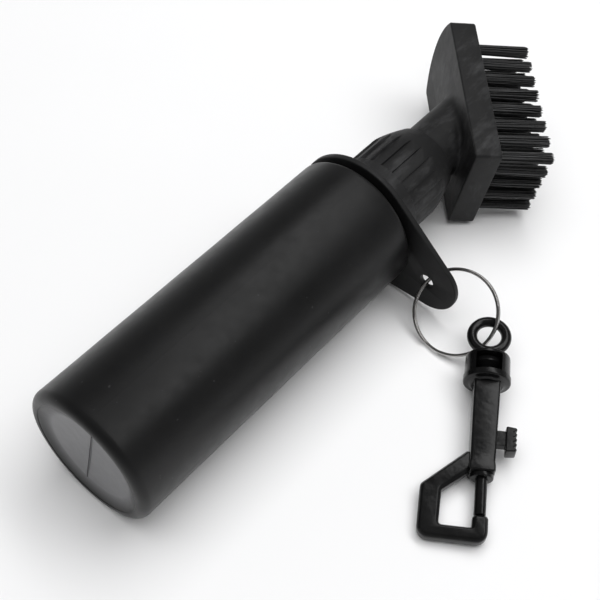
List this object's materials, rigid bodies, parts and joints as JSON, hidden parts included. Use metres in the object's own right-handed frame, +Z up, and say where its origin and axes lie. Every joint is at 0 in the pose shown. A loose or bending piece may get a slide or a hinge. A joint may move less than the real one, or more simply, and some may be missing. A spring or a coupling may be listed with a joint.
{
  "type": "golf club groove brush",
  "caption": "Squeeze bottle with an angled bristle head on a fluted screw collar, a hang tab, a split ring and a trigger snap clip.",
  "frame": {"origin": "on the floor under the middle of the whole object, as it lies on its side", "axes": "+X along the bottle's axis from its base to the brush head, +Z up from the surface it lies on, +Y to the side away from the tab and the clip"},
  "size_m": [0.2104, 0.1212, 0.045],
  "materials": {
    "bottle_plastic": "satin blow-moulded polyethylene",
    "head_plastic": "matt moulded polypropylene with a fine grain",
    "tab_plastic": "matt flexible plastic",
    "bristle_nylon": "bundles of stiff nylon filaments",
    "washer_rubber": "soft seal",
    "anchor_brass": "flat wire staples",
    "ring_steel": "polished nickel-plated spring steel",
    "clip_plastic": "glossy moulded acetal"
  },
  "bodies": {
    "bottle": {"bottle": "bottle_plastic"},
    "carrier": {"sealing_washer": "washer_rubber"},
    "collar": {"screw_collar": "head_plastic"},
    "head": {"head_shell": "head_plastic", "bristle_plate": "head_plastic", "tuft_row_1": "bristle_nylon", "tuft_row_2": "bristle_nylon", "tuft_row_3": "bristle_nylon", "tuft_row_4": "bristle_nylon", "tuft_row_5": "bristle_nylon", "tuft_row_6": "bristle_nylon", "tuft_row_7": "bristle_nylon", "tuft_row_8": "bristle_nylon", "tuft_anchors": "anchor_brass"},
    "tab": {"hang_tab": "tab_plastic"},
    "ring": {"split_ring": "ring_steel"},
    "eye": {"swivel_eye": "clip_plastic"},
    "clip": {"clip_body": "clip_plastic", "clip_spring": "ring_steel"},
    "bolt": {"clip_bolt": "clip_plastic"}
  },
  "joints": [
    {"name": "collar_turn", "type": "hinge", "parent": "carrier", "child": "collar", "pos_m": [0.02482, 0.03193, 0.0225], "axis": [1, 0, 0], "range_deg": [0, 540]},
    {"name": "head_lift", "type": "slide", "parent": "bottle", "child": "carrier", "axis": [1, 0, 0], "range_m": [0, 0.00449]},
    {"name": "head_swivel", "type": "hinge", "parent": "carrier", "child": "head", "pos_m": [0.03482, 0.03193, 0.0225], "axis": [1, 0, 0], "continuous": true},
    {"name": "tab_swivel", "type": "hinge", "parent": "bottle", "child": "tab", "pos_m": [0.01422, 0.03193, 0.0225], "axis": [1, 0, 0], "continuous": true},
    {"name": "ring_swing", "type": "hinge", "parent": "tab", "child": "ring", "pos_m": [0.01422, 0.00318, 0.01327], "axis": [1, 0, 0], "range_deg": [-40, 40]},
    {"name": "eye_swing", "type": "hinge", "parent": "ring", "child": "eye", "pos_m": [0.01122, -0.02352, 0.00958], "axis": [0.7397, -0.089, 0.667], "range_deg": [-35, 30]},
    {"name": "clip_swivel", "type": "hinge", "parent": "eye", "child": "clip", "pos_m": [0.00159, -0.02956, 0.0085], "axis": [-0.8358, -0.5407, -0.0958], "continuous": true},
    {"name": "bolt_slide", "type": "slide", "parent": "clip", "child": "bolt", "axis": [0.8358, 0.5407, 0.0958], "range_m": [0, 0.008], "stiffness_N_per_m": 250, "springref_m": -0.006, "deforming": ["clip_spring"]}
  ],
  "couplings": [
    {"joint": "collar_turn", "follows": "head_lift", "rad_per_m": 2094.4}
  ]
}
